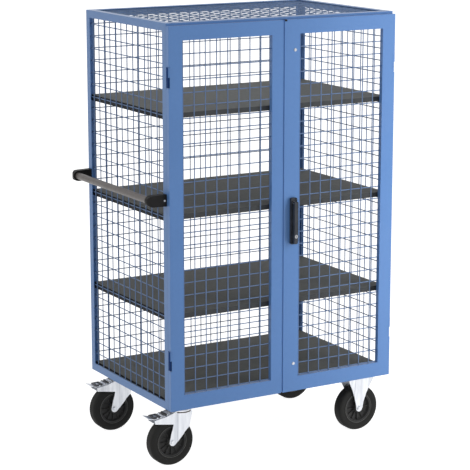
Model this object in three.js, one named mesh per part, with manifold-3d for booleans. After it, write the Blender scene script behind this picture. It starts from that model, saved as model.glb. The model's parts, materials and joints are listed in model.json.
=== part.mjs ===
// A shelf cart with two mesh doors: a welded angle-steel frame with wire nets on four sides,
// a deck and three shelves, two hinged doors with a rod lock, a push handle and four casters.
// Millimetres. X runs along the front, Y to the back, Z up from the floor.

import * as THREE from 'three';
import { mergeVertices } from 'three/addons/utils/BufferGeometryUtils.js';
import Module from 'manifold-3d';

const wasm = await Module();
wasm.setup();

// Frame of angle steel
const frameLength = 1050;
const frameDepth = 690;
const frameHeight = 1534;
const angleLeg = 30;
const angleWall = 3;
const railHeight = 31;
const bearerHeight = 14;
const bearerWidth = 40;
const bearerPlaceShares = [0.25, 0.5, 0.75];
const weldGap = 0.3;

// Deck and shelves
const boardThickness = 20;
const boardFrontInset = 16;
const lowestShelfTop = 385;
const shelfPitch = 400;
const shelfNames = ['lower_shelf', 'middle_shelf', 'upper_shelf'];
const supportWidth = 30;
const supportThickness = 5;

// Wire nets
const wireSize = 4;
const netPitch = 100;
const wallFirstUpright = 97;
const wallFirstLevel = 112;
const roofFirstWire = 88;
const doorFirstUpright = 55;
const doorFirstLevel = 54;

// Doors, folded from sheet
const doorThickness = 19;
const doorStandOff = 1;
const doorTopGap = 10;
const doorSheet = 2;
const doorGap = 9;
const meetingOffset = 9.5;
const hingeStile = 60;
const leftMeetingStile = 48;
const rightMeetingStile = 72;
const doorBottomRail = 61;
const doorTopRail = 57;

// Hinges
const hingeHeight = 79;
const lowerHingeCentre = 207;
const upperHingeDrop = 196;
const hingeRadius = 7;
const hingePinRadius = 3;
const hingeAxisInset = 3;
const hingeSplit = 0.8;
const hingeLeaf = 3;
const turningGap = 0.4;
const notchGap = 1;

// Push handle
const handleTubeRadius = 14;
const handleReach = 62;
const handleHeight = 850;
const bracketWidth = 28;
const bracketBase = 47;
const bracketTipRadius = 22;
const bracketCornerRadius = 20;
const socketDepth = 19;

// Swing handle, its spindle and the rod lock behind the door
const lockInset = 42;
const spindleHeight = 790;
const dishWidth = 28;
const dishHeight = 190;
const dishDepth = 12;
const dishAboveSpindle = 21;
const dishRecess = 4;
const dishRim = 2.5;
const leverWidth = 17.5;
const leverDepth = 17.5;
const leverLength = 174;
const leverGap = 0.5;
const leverTipTaper = 4;
const leverToeHeight = 16;
const tiltPinShare = 0.43;
const spindleRadius = 7;
const tongueWidth = 8;
const tongueRadius = 6;
const tongueNeckShare = 1.6;
const tiltPinRadius = 2.5;
const cylinderRadius = 7.5;
const cylinderBoss = 10.5;
const cylinderDrop = 135;
const cylinderProud = 1;
const keySlotWidth = 1.6;
const keySlotDepth = 3;
const camRadius = 22;
const camThickness = 2.5;
const camStudRadius = 3;
const camStudCircle = 17;
const camSquare = 9;
const rodRadius = 4;
const rodSetback = 8;
const rodInnerEnd = 26;
const upperGuideDrop = 120;
const lowerGuideHeight = 118;
const guideHeight = 18;
const guideSides = [9, 14];
const guideBack = 13.5;

// Casters
const wheelDiameter = 195;
const tyreWidth = 49;
const tyreSeatDiameter = 128;
const tyreEdge = 8;
const tyreShoulderShares = [0.25, 0.6, 1.6];
const rimWallDepth = 3;
const rimRing = 8;
const webThickness = 8;
const hubRadius = 20;
const hubWidth = 51.6;
const axleRadius = 6;
const axleHead = 5;
const axleHeadRadius = 10;
const rimRibs = 8;
const rimRibThickness = 4;
const rimRibDepthShare = 0.8;
const rimRibRootShare = 0.8;
const wheelGap = 0.3;
const forkSheet = 3.2;
const forkTipRadius = 15;
const forkSpread = 3.2;
const tyreClearance = 21;
const crownThickness = 13;
const crownRadius = 44;
const raceGap = 0.8;
const raceHeight = 18.2;
const raceTopRadius = 36;
const kingPinRadius = 8;
const kingNutRadius = 13;
const kingNutHeight = 8;
const plateLength = 135;
const plateWidth = 110;
const plateThickness = 5;
const plateInset = 30;
const swivelTrail = 49;
const fixedTopSpread = 14;
const fixedTopFlare = 3;
const panelRise = 2.4;
const pedalWidth = 55;
const pedalSheet = 3;
const pedalBarrel = 5;
const pedalPinRadius = 3;
const pedalRibHeight = 4;
const pedalRibWidth = 6;

// Outlines of the forks and the pedal, as shares of the wheel's radius, measured from the axle
const wingShares = { root: [0.02, 0.78], end: [-0.82, 0.915], top: [-0.86, 1.07], shoulder: [-0.31, 1.16] };
const neckShares = [0, 1.25];
const kneeShares = [0.76, 0.59];
const wellShares = [[-1.2, 0.78], [-0.95, 0.85], [-0.41, 1], [0, 1.06], [0.04, 1.06]];
const fixedWaistShares = [0.2, 0.5];
const fixedShoulderShares = [0.6, 1.26];
const fixedPanelShares = [-0.29, 0.29];
const swivelPanelShares = [0.22, 0.52];
const crownShares = [0.9, 0.66];
const legKneeShares = [0.4, 0.58];
const pedalTopShares = [[-0.06, 1.235], [-0.46, 1.14], [-0.86, 1.125], [-1.12, 1.195]];
const pedalRibShares = [-0.22, -0.38, -0.54, -0.7];
const pedalPivotShares = [-0.06, 1.185];

// How finely round things are cut
const wheelSides = 24;
const tubeSides = 24;
const lockSides = 16;
const barSides = 12;
const nutSides = 6;
const arcSteps = 4;
const overrun = 5;

// Sizes worked out from the ones above
const wheelRadius = wheelDiameter / 2;
const crownUnderside = wheelDiameter + tyreClearance;
const crownTop = crownUnderside + crownThickness;
const raceBottom = crownTop + raceGap;
const plateBottom = raceBottom + raceHeight;
const frameUnderside = plateBottom + plateThickness;
const netDepth = 2 * wireSize;
const netInset = angleWall + weldGap;
const netInner = netInset + netDepth;
const boardSide = netInner + weldGap;
const boardBack = frameDepth - netInner - weldGap;
const roofRailBottom = frameHeight - railHeight;
const doorBack = -doorStandOff;
const doorFront = doorBack - doorThickness;
const doorMiddle = (doorBack + doorFront) / 2;
const hingeAxisY = doorFront + hingeRadius;
const doorHeight = frameHeight - doorTopGap;
const leftDoorWidth = (frameLength - doorGap) / 2 - meetingOffset;
const rightDoorStart = leftDoorWidth + doorGap;
const upperHingeCentre = doorHeight - upperHingeDrop;
const upperGuideHeight = doorHeight - upperGuideDrop;
const lockX = rightDoorStart + lockInset;
const dishFront = doorFront - dishDepth;
const leverBack = dishFront - leverGap;
const leverFront = leverBack - leverDepth;
const tiltY = leverBack - leverDepth * tiltPinShare;
const rodFace = rodSetback + rodRadius + weldGap;
const swivelX = plateInset + plateLength / 2;
const fixedX = frameLength - swivelX;
const casterY = plateInset + plateWidth / 2;

// Paints and materials
const framePaint = new THREE.MeshStandardMaterial({ color: 0x5f86bd, roughness: 0.45, metalness: 0.1 });
const doorPaint = new THREE.MeshStandardMaterial({ color: 0x658cc4, roughness: 0.45, metalness: 0.1 });
const netPaint = new THREE.MeshStandardMaterial({ color: 0x4c6ea5, roughness: 0.5, metalness: 0.1 });
const boardFacing = new THREE.MeshStandardMaterial({ color: 0x454a4f, roughness: 0.7, metalness: 0 });
const darkSteel = new THREE.MeshStandardMaterial({ color: 0x262a2e, roughness: 0.6, metalness: 0.3 });
const blackPlastic = new THREE.MeshStandardMaterial({ color: 0x232120, roughness: 0.55, metalness: 0 });
const greyTube = new THREE.MeshStandardMaterial({ color: 0x8a8583, roughness: 0.4, metalness: 0.4 });
const lockGrey = new THREE.MeshStandardMaterial({ color: 0x4a4d52, roughness: 0.5, metalness: 0.2 });
const zinc = new THREE.MeshStandardMaterial({ color: 0xdde0e4, roughness: 0.35, metalness: 0.6 });
const tyreRubber = new THREE.MeshStandardMaterial({ color: 0x2d2d2b, roughness: 0.8, metalness: 0 });
const rimPlastic = new THREE.MeshStandardMaterial({ color: 0x333333, roughness: 0.6, metalness: 0 });

// Basic shapes

// A box between two opposite corners, each span given as its two ends.
function block([x0, x1], [y0, y1], [z0, z1]) {
  const box = new THREE.BoxGeometry(x1 - x0, y1 - y0, z1 - z0);
  return box.translate((x0 + x1) / 2, (y0 + y1) / 2, (z0 + z1) / 2);
}

// A span of the given width round a middle.
function about(middle, width) {
  return [middle - width / 2, middle + width / 2];
}

const axes = {
  x: new THREE.Vector3(1, 0, 0),
  y: new THREE.Vector3(0, 1, 0),
  z: new THREE.Vector3(0, 0, 1),
};

// An outline on the Y-Z, X-Z or X-Y plane, given depth along the axis that is left.
function extrude(outline, axis, [from, to]) {
  const options = { depth: to - from, bevelEnabled: false, curveSegments: arcSteps };
  const slab = new THREE.ExtrudeGeometry(outline, options);
  const turn = new THREE.Matrix4();
  if (axis === 'x') turn.makeBasis(axes.y, axes.z, axes.x).setPosition(from, 0, 0);
  if (axis === 'y') turn.makeBasis(axes.x, axes.z, axes.y.clone().negate()).setPosition(0, to, 0);
  if (axis === 'z') turn.setPosition(0, 0, from);
  return slab.applyMatrix4(turn);
}

// A round bar along an axis.
function bar(axis, radius, [from, to], sides = barSides) {
  const round = new THREE.CylinderGeometry(radius, radius, to - from, sides);
  if (axis === 'x') round.rotateZ(-Math.PI / 2);
  if (axis === 'z') round.rotateX(Math.PI / 2);
  return round.translate(...axes[axis].clone().multiplyScalar((from + to) / 2).toArray());
}

// A hole that stays outside a round bar at every angle.
function bore(axis, radius, gap, span, sides = barSides) {
  return bar(axis, (radius + gap) / Math.cos(Math.PI / sides), span, sides);
}

// A closed profile of [radius, height] points turned round the Y axis, with flats on the four sides.
function revolve(profile, sides = wheelSides) {
  const points = profile.map(([radius, y]) => new THREE.Vector2(radius / Math.cos(Math.PI / sides), y));
  return new THREE.LatheGeometry([...points, points[0]], sides, Math.PI / sides);
}

function polygon(points) {
  return new THREE.Shape(points.map(([x, y]) => new THREE.Vector2(x, y)));
}

// A rectangle with round corners, drawn from its left bottom corner.
function roundedRectangle([x0, x1], [y0, y1], radius) {
  const outline = new THREE.Shape();
  outline.absarc(x1 - radius, y0 + radius, radius, -Math.PI / 2, 0);
  outline.absarc(x1 - radius, y1 - radius, radius, 0, Math.PI / 2);
  outline.absarc(x0 + radius, y1 - radius, radius, Math.PI / 2, Math.PI);
  outline.absarc(x0 + radius, y0 + radius, radius, Math.PI, 1.5 * Math.PI);
  return outline;
}

// Joining and cutting

function toSolid(geometry) {
  const bare = new THREE.BufferGeometry();
  bare.setAttribute('position', geometry.getAttribute('position'));
  bare.setIndex(geometry.getIndex());
  const merged = mergeVertices(bare);
  const vertProperties = new Float32Array(merged.attributes.position.array);
  const triVerts = new Uint32Array(merged.index.array);
  return new wasm.Manifold(new wasm.Mesh({ numProp: 3, vertProperties, triVerts }));
}

function toGeometry(solid) {
  const mesh = solid.getMesh();
  const geometry = new THREE.BufferGeometry();
  geometry.setAttribute('position', new THREE.BufferAttribute(mesh.vertProperties, 3));
  geometry.setIndex(new THREE.BufferAttribute(mesh.triVerts, 1));
  geometry.computeVertexNormals();
  return geometry;
}

function join(...shapes) {
  return toGeometry(shapes.map(toSolid).reduce((whole, next) => whole.add(next)));
}

function cut(shape, ...tools) {
  return toGeometry(tools.map(toSolid).reduce((whole, next) => whole.subtract(next), toSolid(shape)));
}

function common(first, second) {
  return toGeometry(toSolid(first).intersect(toSolid(second)));
}

function part(name, geometry, material) {
  const mesh = new THREE.Mesh(geometry, material);
  mesh.name = name;
  return mesh;
}

function group(x, y, z, ...children) {
  const holder = new THREE.Group();
  holder.position.set(x, y, z);
  return holder.add(...children);
}

// Frame

// A ring of angle steel round the cart: the upright leg outside, the level leg at the given height.
function angleRing(bottom, flangeBottom) {
  const heights = [bottom, bottom + railHeight];
  const inside = [angleWall, frameLength - angleWall];
  const insideDepth = [angleWall, frameDepth - angleWall];
  const upright = cut(
    block([0, frameLength], [0, frameDepth], heights),
    block(inside, insideDepth, [bottom - overrun, bottom + railHeight + overrun]),
  );
  const flange = cut(
    block([0, frameLength], [0, frameDepth], [flangeBottom, flangeBottom + angleWall]),
    block(
      [angleLeg, frameLength - angleLeg],
      [angleLeg, frameDepth - angleLeg],
      [flangeBottom - overrun, flangeBottom + angleWall + overrun],
    ),
  );
  return join(upright, flange);
}

function baseFrame() {
  const plateEnd = plateInset + plateLength + angleWall;
  const plateSide = plateInset + plateWidth + angleWall;
  const ends = [[angleWall, plateEnd], [frameLength - plateEnd, frameLength - angleWall]];
  const sides = [[angleWall, plateSide], [frameDepth - plateSide, frameDepth - angleWall]];
  const cornerPlates = ends.flatMap((x) => sides.map((y) => block(x, y, [0, angleWall])));
  const bearers = bearerPlaceShares.map((share) => block(
    about(share * frameLength, bearerWidth),
    [angleWall, boardBack],
    [angleWall, angleWall + bearerHeight],
  ));
  return join(angleRing(0, 0), ...cornerPlates, ...bearers);
}

function roofFrame() {
  return angleRing(roofRailBottom, frameHeight - angleWall);
}

// A corner post: its two legs meet at the cart's corner, and reach inwards by the angle's leg.
function post(name, right, back) {
  const x = right ? [frameLength - angleLeg, frameLength] : [0, angleLeg];
  const y = back ? [frameDepth - angleLeg, frameDepth] : [0, angleLeg];
  const legX = right ? [frameLength - angleWall, frameLength] : [0, angleWall];
  const legY = back ? [frameDepth - angleWall, frameDepth] : [0, angleWall];
  const heights = [railHeight, roofRailBottom];
  return part(name, join(block(legX, y, heights), block(x, legY, heights)), framePaint);
}

// Wire nets

// Places at even steps from the first one, up to the end.
function steps(first, pitch, end) {
  const places = [];
  for (let place = first; place < end; place += pitch) places.push(place);
  return places;
}

// A welded net that starts at the origin: uprights in front, level wires welded to their backs.
function net(width, height, uprights, levels) {
  const wires = uprights.map((x) => block(about(x, wireSize), [0, wireSize], [0, height]));
  const rungs = levels.map((z) => block([0, width], [wireSize, netDepth], about(z, wireSize)));
  return join(...wires, ...rungs);
}

function wallNets() {
  const bottom = angleWall + weldGap;
  const height = frameHeight - angleWall - weldGap - bottom;
  const levels = steps(wallFirstLevel, netPitch, height - wireSize);
  const sideWidth = frameDepth - netInner - weldGap - netInset;
  const sideUprights = steps(wallFirstUpright, netPitch, sideWidth - wireSize);
  const rearWidth = frameLength - 2 * netInset;
  const rearUprights = steps(wallFirstUpright, netPitch, rearWidth - wireSize);
  const fromBack = sideUprights.map((x) => sideWidth - x);
  const left = part('left_wall_net', net(sideWidth, height, fromBack, levels), netPaint);
  left.position.set(netInset, netInset + sideWidth, bottom);
  left.rotation.z = -Math.PI / 2;
  const right = part('right_wall_net', net(sideWidth, height, sideUprights, levels), netPaint);
  right.position.set(frameLength - netInset, netInset, bottom);
  right.rotation.z = Math.PI / 2;
  const rear = part('rear_wall_net', net(rearWidth, height, rearUprights, levels), netPaint);
  rear.position.set(frameLength - netInset, frameDepth - netInset, bottom);
  rear.rotation.z = Math.PI;
  return [left, right, rear];
}

function roofNet() {
  const inset = netInner + weldGap;
  const width = frameLength - 2 * inset;
  const depth = frameDepth - netInset - inset;
  const lengthwise = steps(roofFirstWire, netPitch, width - wireSize);
  const crosswise = steps(roofFirstWire, netPitch, depth - wireSize);
  const roof = part('roof_net', net(width, depth, lengthwise, crosswise), netPaint);
  roof.position.set(inset, frameDepth - inset, frameHeight - angleWall - weldGap - netDepth);
  roof.rotation.x = Math.PI / 2;
  return roof;
}

// Deck and shelves

function board(name, top) {
  const sides = [boardSide, frameLength - boardSide];
  return part(name, block(sides, [boardFrontInset, boardBack], [top - boardThickness, top]), boardFacing);
}

// A U of flat bar under a shelf, open to the front, its ends against the front posts.
function shelfSupport(name, top) {
  const heights = [top - boardThickness - supportThickness, top - boardThickness];
  const outer = block([boardSide, frameLength - boardSide], [netInset, boardBack], heights);
  const inner = block(
    [boardSide + supportWidth, frameLength - boardSide - supportWidth],
    [netInset - overrun, boardBack - supportWidth],
    [heights[0] - overrun, heights[1] + overrun],
  );
  return part(name, cut(outer, inner), darkSteel);
}

function shelves() {
  const deckTop = angleWall + bearerHeight + boardThickness;
  const levels = shelfNames.map((name, i) => [name, lowestShelfTop + i * shelfPitch]);
  return [
    board('deck_board', deckTop),
    ...levels.map(([name, top]) => board(name, top)),
    ...levels.map(([name, top]) => shelfSupport(`${name}_support`, top)),
  ];
}

// Doors

// A door frame folded from sheet: a front skin with the window cut out, and edges folded back.
function foldedFrame([x0, x1], [w0, w1]) {
  const through = [doorFront - overrun, doorBack + overrun];
  const window = block([w0, w1], through, [doorBottomRail, doorHeight - doorTopRail]);
  const hollow = block(
    [x0 + doorSheet, x1 - doorSheet],
    [doorFront + doorSheet, doorBack + overrun],
    [doorSheet, doorHeight - doorSheet],
  );
  const windowFold = block(
    [w0 - doorSheet, w1 + doorSheet],
    through,
    [doorBottomRail - doorSheet, doorHeight - doorTopRail + doorSheet],
  );
  const blank = block([x0, x1], [doorFront, doorBack], [0, doorHeight]);
  return cut(blank, cut(hollow, windowFold), window);
}

const hingeCentres = { lower: lowerHingeCentre, upper: upperHingeCentre };

// The pocket for one hinge at a door's outer edge, with its walls; side is 1 on the left, -1 on the right.
function hingePocket(edge, side, centre) {
  const depth = hingeAxisInset + hingeRadius + notchGap;
  const ordered = (a, b) => [Math.min(a, b), Math.max(a, b)];
  const walls = block(
    ordered(edge, edge + side * (depth + doorSheet)),
    [doorFront, doorBack],
    about(centre, hingeHeight + 2 * (notchGap + doorSheet)),
  );
  const room = block(
    ordered(edge - side * overrun, edge + side * depth),
    [doorFront - overrun, doorBack + overrun],
    about(centre, hingeHeight + 2 * notchGap),
  );
  return { walls, room };
}

// The half of a hinge that is welded to the door: a bored knuckle above the split, on a short leaf.
function hingeDoorHalf(edge, side, centre) {
  const axisX = edge + side * hingeAxisInset;
  const heights = [centre + hingeSplit / 2, centre + hingeHeight / 2];
  const reach = hingeRadius + notchGap + doorSheet / 2;
  const leafEnds = side > 0 ? [axisX, axisX + reach] : [axisX - reach, axisX];
  const knuckle = bar('z', hingeRadius, heights).translate(axisX, hingeAxisY, 0);
  const leaf = block(leafEnds, about(hingeAxisY, hingeLeaf), heights);
  const hole = bore('z', hingePinRadius, turningGap, [heights[0] - overrun, heights[1] + overrun]);
  return cut(join(knuckle, leaf), hole.translate(axisX, hingeAxisY, 0));
}

// The half that is welded to the post, with the pin that the door turns on.
function hingePostHalf(name, edge, side, centre) {
  const axisX = edge + side * hingeAxisInset;
  const heights = [centre - hingeHeight / 2, centre - hingeSplit / 2];
  const knuckle = bar('z', hingeRadius, heights).translate(axisX, hingeAxisY, 0);
  const pin = bar('z', hingePinRadius, [heights[0], centre + hingeHeight / 2]).translate(axisX, hingeAxisY, 0);
  const leaf = block(about(axisX, hingeLeaf), [hingeAxisY, 0], heights);
  return part(name, join(knuckle, leaf, pin), doorPaint);
}

function doorFrame(name, span, window, edge, side, ...holes) {
  let shape = foldedFrame(span, window);
  for (const centre of Object.values(hingeCentres)) {
    const pocket = hingePocket(edge, side, centre);
    shape = join(cut(join(shape, pocket.walls), pocket.room), hingeDoorHalf(edge, side, centre));
  }
  return part(name, holes.length ? cut(shape, ...holes) : shape, doorPaint);
}

// The net in a door's window, a weld gap clear of the folded edges it is welded to.
function doorNet(name, [w0, w1]) {
  const width = w1 - w0 - 2 * weldGap;
  const height = doorHeight - doorBottomRail - doorTopRail - 2 * weldGap;
  const uprights = steps(doorFirstUpright, netPitch, width - wireSize);
  const levels = steps(doorFirstLevel, netPitch, height - wireSize);
  const panel = part(name, net(width, height, uprights, levels), netPaint);
  panel.position.set(w0 + weldGap, doorMiddle - wireSize, doorBottomRail + weldGap);
  return panel;
}

function doors() {
  const leftSpan = [0, leftDoorWidth];
  const leftWindow = [hingeStile, leftDoorWidth - leftMeetingStile];
  const rightSpan = [rightDoorStart, frameLength];
  const rightWindow = [rightDoorStart + rightMeetingStile, frameLength - hingeStile];
  const spindleHole = bore('y', spindleRadius, turningGap, [doorFront - overrun, doorBack + overrun])
    .translate(lockX, 0, spindleHeight);
  const fixed = [['left', 0, 1], ['right', frameLength, -1]].flatMap(([door, edge, side]) =>
    Object.entries(hingeCentres).map(([place, centre]) =>
      hingePostHalf(`${door}_door_${place}_hinge`, edge, side, centre)));
  return [
    doorFrame('left_door_frame', leftSpan, leftWindow, 0, 1),
    doorNet('left_door_net', leftWindow),
    doorFrame('right_door_frame', rightSpan, rightWindow, frameLength, -1, spindleHole),
    doorNet('right_door_net', rightWindow),
    ...fixed,
  ];
}

// Push handle

// A bracket: a rounded arm seen from the front, with its outer corner rounded seen from above.
function handleBracket(name, [y0, y1], outside) {
  const tip = -handleReach;
  const arm = new THREE.Shape();
  arm.moveTo(0, -bracketBase / 2);
  arm.lineTo(0, bracketBase / 2);
  arm.lineTo(tip, bracketTipRadius);
  arm.absarc(tip, 0, bracketTipRadius, Math.PI / 2, 1.5 * Math.PI);
  const end = tip - bracketTipRadius;
  const plan = new THREE.Shape();
  const cornerY = outside < 0 ? y0 + bracketCornerRadius : y1 - bracketCornerRadius;
  plan.moveTo(0, y0);
  plan.lineTo(0, y1);
  const corner = [end + bracketCornerRadius, cornerY, bracketCornerRadius];
  if (outside > 0) plan.absarc(...corner, Math.PI / 2, Math.PI);
  else plan.lineTo(end, y1);
  if (outside < 0) plan.absarc(...corner, Math.PI, 1.5 * Math.PI);
  else plan.lineTo(end, y0);
  const body = common(extrude(arm, 'y', [y0, y1]), extrude(plan, 'z', [-bracketBase, bracketBase]));
  const mouth = outside < 0 ? [y1 - socketDepth, y1 + overrun] : [y0 - overrun, y0 + socketDepth];
  const socket = bore('y', handleTubeRadius, weldGap, mouth, tubeSides).translate(tip, 0, 0);
  return part(name, cut(body, socket), blackPlastic);
}

function pushHandle() {
  const inset = (angleLeg - bracketWidth) / 2;
  const frontSpan = [inset, inset + bracketWidth];
  const rearSpan = [frameDepth - inset - bracketWidth, frameDepth - inset];
  const tubeSpan = [frontSpan[1] - socketDepth + weldGap, rearSpan[0] + socketDepth - weldGap];
  const tube = part('push_handle_tube', bar('y', handleTubeRadius, tubeSpan, tubeSides), greyTube);
  tube.position.x = -handleReach;
  return group(0, 0, handleHeight,
    handleBracket('front_handle_bracket', frontSpan, -1),
    handleBracket('rear_handle_bracket', rearSpan, 1),
    tube,
  );
}

// Rod lock, measured from the spindle's axis

function lockDish() {
  const heights = [dishAboveSpindle - dishHeight, dishAboveSpindle];
  const shell = extrude(roundedRectangle(about(0, dishWidth), heights, dishRim * 2), 'y', [dishFront, doorFront]);
  const inner = roundedRectangle(
    about(0, dishWidth - 2 * dishRim),
    [heights[0] + dishRim, heights[1] - dishRim],
    dishRim,
  );
  const recess = extrude(inner, 'y', [dishFront - overrun, dishFront + dishRecess]);
  const hole = bore('y', spindleRadius, turningGap, [dishFront - overrun, doorFront + overrun]);
  return part('lock_dish', cut(shell, recess, hole), lockGrey);
}

// The lever: its side view carries the round end at the tilt pin, its front view the boss of the cylinder.
function lockLever() {
  const backRadius = leverBack - tiltY;
  const bottom = backRadius - leverLength;
  const side = new THREE.Shape();
  side.moveTo(leverBack, bottom);
  side.lineTo(leverBack, 0);
  side.absarc(tiltY, 0, backRadius, 0, Math.PI / 2);
  side.lineTo(leverFront + leverTipTaper, backRadius);
  side.lineTo(leverFront, backRadius - leverTipTaper);
  side.lineTo(leverFront, bottom + leverToeHeight);
  side.lineTo(leverFront + leverTipTaper, bottom);
  const stick = extrude(
    roundedRectangle(about(0, leverWidth), [bottom, backRadius], leverTipTaper), 'y', [leverFront, leverBack]);
  const boss = bar('y', cylinderBoss, [leverFront, leverBack], lockSides).translate(0, 0, -cylinderDrop);
  const body = common(extrude(side, 'x', about(0, 2 * cylinderBoss)), join(stick, boss));
  const slot = block(
    about(0, tongueWidth + 2 * leverGap),
    [tiltY - tongueRadius - leverGap, leverBack + overrun],
    [-tongueRadius - 2 * leverGap, backRadius + overrun],
  );
  const pinHole = bore('x', tiltPinRadius, leverGap / 2, about(0, leverWidth + 2 * overrun)).translate(0, tiltY, 0);
  const cylinderHole = bore('y', cylinderRadius, weldGap, [leverFront - overrun, leverBack + overrun], lockSides)
    .translate(0, 0, -cylinderDrop);
  const hollow = block(
    about(0, leverWidth / 2),
    [(leverBack + leverFront) / 2, leverBack + overrun],
    [-cylinderDrop + cylinderBoss + 2 * leverTipTaper, -tongueRadius - 2 * leverTipTaper],
  );
  return part('lock_lever', cut(body, slot, pinHole, cylinderHole, hollow), lockGrey);
}

function lockCylinder() {
  const plug = bar('y', cylinderRadius, [leverFront - cylinderProud, leverBack - leverGap], lockSides);
  const slot = block(
    about(0, keySlotWidth),
    [leverFront - cylinderProud - overrun, leverFront - cylinderProud + keySlotDepth],
    about(0, cylinderRadius),
  );
  const cylinder = part('lock_cylinder', cut(plug, slot), zinc);
  cylinder.position.z = -cylinderDrop;
  return cylinder;
}

// The spindle: a tongue and tilt pin for the lever, a shaft through the door, a square end for the cam.
function lockSpindle() {
  const shaft = bar('y', spindleRadius, [dishFront, rodFace - weldGap / 2]);
  const square = block(about(0, camSquare), [rodFace - leverGap, rodFace + camThickness], about(0, camSquare));
  const tongue = join(
    bar('x', tongueRadius, about(0, tongueWidth)).translate(0, tiltY, 0),
    block(about(0, tongueWidth), [tiltY, dishFront + spindleRadius], about(0, tongueRadius * tongueNeckShare)),
  );
  const pin = bar('x', tiltPinRadius, about(0, leverWidth - leverGap)).translate(0, tiltY, 0);
  return part('lock_spindle', join(shaft, square, tongue, pin), zinc);
}

// The cam: a disc on the spindle's square, with two studs that stand between it and the door.
function lockCam() {
  const disc = bar('y', camRadius, [rodFace, rodFace + camThickness], lockSides);
  const studs = [-camStudCircle, camStudCircle].map((z) =>
    bar('y', camStudRadius, [rodSetback - rodRadius, rodFace + camThickness / 2]).translate(0, 0, z));
  const square = block(
    about(0, camSquare + 2 * weldGap),
    [rodFace - overrun, rodFace + camThickness + overrun],
    about(0, camSquare + 2 * weldGap),
  );
  return part('lock_cam', cut(join(disc, ...studs), square), zinc);
}

function lockRod(name, span) {
  return part(name, bar('z', rodRadius, span).translate(0, rodSetback, 0), zinc);
}

function rodGuide(name, height) {
  const middle = height - spindleHeight;
  const body = block([-guideSides[0], guideSides[1]], [doorFront + doorSheet, guideBack], about(middle, guideHeight));
  const hole = bore('z', rodRadius, turningGap, about(middle, guideHeight + 2 * overrun)).translate(0, rodSetback, 0);
  return part(name, cut(body, hole), blackPlastic);
}

function rodLock() {
  const rodTop = roofRailBottom - weldGap - spindleHeight;
  const rodBottom = railHeight + weldGap - spindleHeight;
  return group(lockX, 0, spindleHeight,
    lockDish(), lockLever(), lockCylinder(), lockSpindle(), lockCam(),
    lockRod('upper_lock_rod', [rodInnerEnd, rodTop]),
    lockRod('lower_lock_rod', [rodBottom, -rodInnerEnd]),
    rodGuide('upper_rod_guide', upperGuideHeight),
    rodGuide('lower_rod_guide', lowerGuideHeight),
  );
}

// Casters, measured from the middle of the axle

function wheelTyre(name) {
  const seat = tyreSeatDiameter / 2 + wheelGap;
  const half = tyreWidth / 2;
  const edge = wheelRadius - tyreEdge;
  const [drop, shoulder, crown] = tyreShoulderShares.map((share) => share * tyreEdge);
  const upper = [
    [wheelRadius, half - crown],
    [wheelRadius - drop, half - shoulder],
    [edge, half],
    [seat, half - rimWallDepth],
  ];
  const lower = upper.map(([radius, y]) => [radius, -y]).reverse();
  return part(name, revolve([...lower, ...upper]), tyreRubber);
}

// The plastic rim: a hub and a ring joined by a web, with ribs on both sides of the web.
function wheelRim(name) {
  const seat = tyreSeatDiameter / 2;
  const ringHalf = tyreWidth / 2 - rimWallDepth;
  const boreRadius = axleRadius + turningGap;
  const upper = [
    [boreRadius, hubWidth / 2],
    [hubRadius, hubWidth / 2],
    [hubRadius, webThickness / 2],
    [seat - rimRing, webThickness / 2],
    [seat - rimRing, ringHalf],
    [seat, ringHalf],
  ];
  const lower = upper.map(([radius, y]) => [radius, -y]);
  const wheel = revolve([...lower, ...upper.reverse()]);
  const ribs = Array.from({ length: rimRibs / 2 }, (_, i) => {
    const rib = block(
      about(0, 2 * (seat - rimRing / 2)),
      about(0, 2 * ringHalf * rimRibDepthShare),
      about(0, rimRibThickness),
    );
    const clear = block(about(0, 2 * hubRadius * rimRibRootShare), about(0, 2 * tyreWidth), about(0, 2 * hubRadius));
    return cut(rib, clear).rotateY((i + 0.5) * (2 * Math.PI / rimRibs));
  });
  return part(name, join(wheel, ...ribs), rimPlastic);
}

function wheelAxle(name, half) {
  const span = about(0, 2 * (half + axleHead));
  const headSpans = [[-half - axleHead, -half - weldGap], [half + weldGap, half + axleHead]];
  const heads = headSpans.map((ends) => bar('y', axleHeadRadius, ends, nutSides));
  return part(name, join(bar('y', axleRadius, span), ...heads), zinc);
}

function sized([x, z]) {
  return [x * wheelRadius, z * wheelRadius];
}

// The angle at which a straight edge from a point meets the round fork tip; turn is 1 left, -1 right.
function tangentAngle([x, z], turn) {
  return Math.atan2(z, x) + turn * Math.acos(forkTipRadius / Math.hypot(x, z));
}

// The pair of fork legs seen from the front: a strip on each side, set outwards above the tyre's edge.
function legStrips(top, spread, sheet) {
  const inner = hubWidth / 2 + wheelGap;
  const [kneeLow, kneeHigh] = legKneeShares.map((share) => share * wheelRadius);
  const strip = polygon([
    [inner, -wheelRadius],
    [inner + sheet, -wheelRadius],
    [inner + sheet, kneeLow],
    [inner + sheet + forkSpread, kneeHigh],
    [inner + sheet + forkSpread + spread, top],
    [inner + forkSpread + spread, top],
    [inner + forkSpread, kneeHigh],
    [inner, kneeLow],
  ]);
  const right = extrude(strip, 'x', [-2 * wheelRadius, 2 * wheelRadius]);
  return [right, right.clone().rotateZ(Math.PI)];
}

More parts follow.
